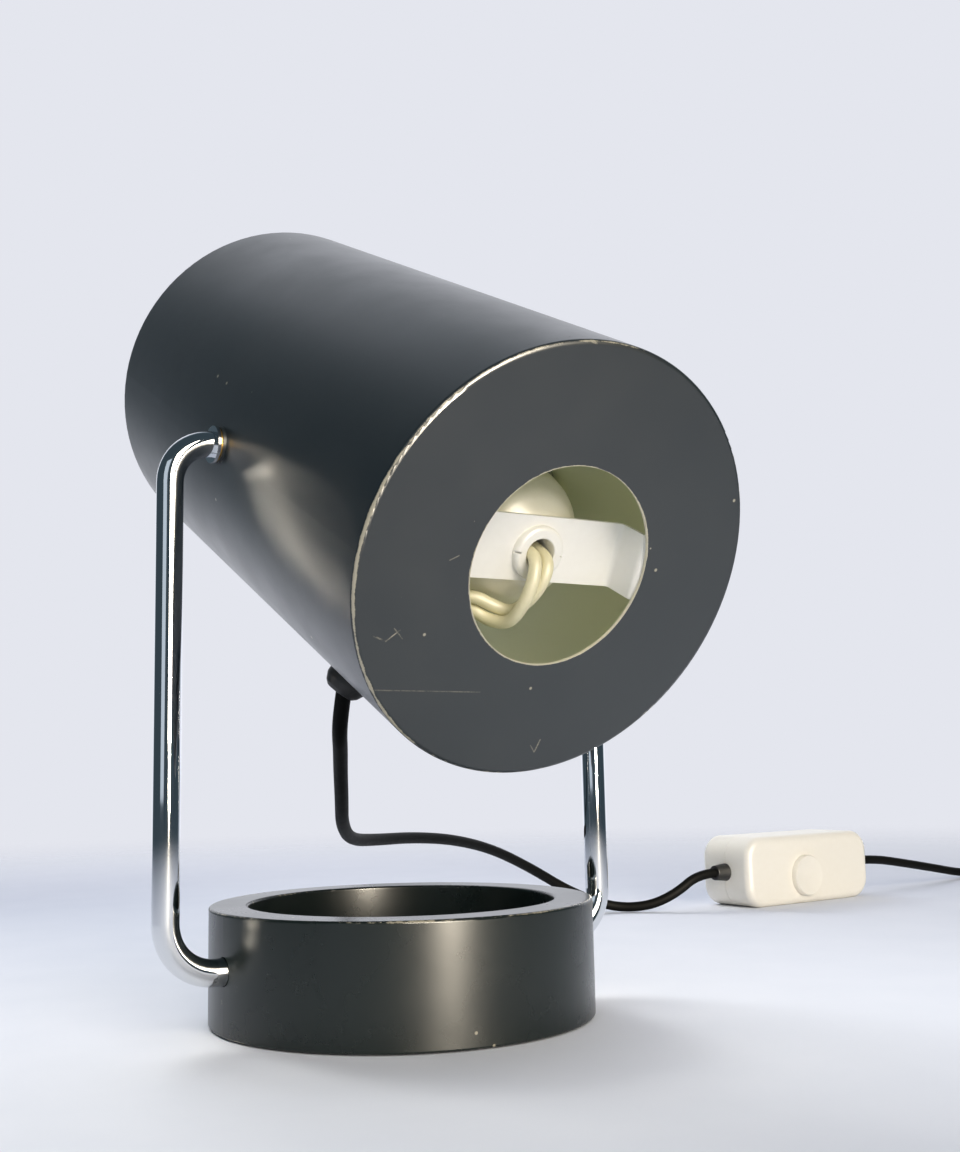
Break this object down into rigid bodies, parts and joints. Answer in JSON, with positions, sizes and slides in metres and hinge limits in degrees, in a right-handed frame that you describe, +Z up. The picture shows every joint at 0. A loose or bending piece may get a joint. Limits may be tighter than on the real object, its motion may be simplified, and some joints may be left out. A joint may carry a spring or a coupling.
{
  "type": "tabletop searchlight lamp",
  "caption": "Tabletop searchlight lamp: black cylinder shade tilting between two bent chrome rods on a heavy ring base, with cord, inline push switch and plug.",
  "frame": {"origin": "middle of the ring base's underside, on the surface it stands on", "axes": "+Z up, X along the shade's tilt axis, the light leaves toward -Y and up, the rear face with the vent hole looks toward +Y and down"},
  "size_m": [0.6373, 0.3092, 0.2762],
  "materials": {
    "satin_black_paint": "satin",
    "felt": "matte",
    "chrome_plate": "polished",
    "zinc_steel": "satin",
    "brass": "satin",
    "white_enamel": "gloss",
    "white_nylon": "satin",
    "cream_holder_plastic": "satin",
    "porcelain": "gloss",
    "opal_glass": "satin",
    "bulb_cap_aluminium": "satin",
    "black_rubber": "satin",
    "cord_sheath": "satin",
    "black_plastic": "satin",
    "wire_sleeving": "satin",
    "cream_switch_plastic": "satin",
    "switch_block_plastic": "matte",
    "nickel_pins": "satin"
  },
  "bodies": {
    "base": {"base_ring": "satin_black_paint", "base_felt": "felt", "left_arm": "chrome_plate", "right_arm": "chrome_plate", "pivot_collars": "chrome_plate", "arm_grub_screws": "zinc_steel", "spring_washers": "zinc_steel", "pivot_nuts": "zinc_steel", "switch_screws": "zinc_steel", "friction_washers": "brass", "switch_terminals": "brass", "switch_sleeves": "black_rubber", "plug_body": "black_rubber", "switch_cord_ends": "cord_sheath", "cord_lead": "cord_sheath", "cord_tail": "cord_sheath", "cord_coil": "cord_sheath", "cord_end": "cord_sheath", "plug_pin_sleeves": "black_plastic", "switch_front_shell": "cream_switch_plastic", "switch_rear_shell": "cream_switch_plastic", "switch_contact_block": "switch_block_plastic", "plug_pins": "nickel_pins"},
    "shade": {"shade_tube": "satin_black_paint", "shade_rear_cap": "satin_black_paint", "pivot_bushes": "satin_black_paint", "lampholder_strap": "white_enamel", "strap_bush": "white_nylon", "holder_cap": "cream_holder_plastic", "holder_body": "cream_holder_plastic", "holder_insert": "porcelain", "centre_contact": "brass", "terminal_screws": "brass", "holder_thread_shell": "brass", "bulb_screw_cap": "bulb_cap_aluminium", "bulb_contact": "brass", "bulb_glass": "opal_glass", "cord_grommet": "black_rubber", "cord_inner_end": "cord_sheath", "cord_grip": "black_plastic", "lead_wire_a": "wire_sleeving", "lead_wire_b": "wire_sleeving"},
    "button": {"switch_button": "cream_switch_plastic"}
  },
  "joints": [
    {"name": "shade_tilt", "type": "hinge", "parent": "base", "child": "shade", "pos_m": [0, 0, 0.1755], "axis": [1, 0, 0], "range_deg": [-63, 62], "deforming": ["cord_lead"]},
    {"name": "switch_push", "type": "slide", "parent": "base", "child": "button", "axis": [0.0523, -0.9986, 0], "range_m": [0, 0.0025], "stiffness_N_per_m": 800, "springref_m": -0.0025}
  ]
}
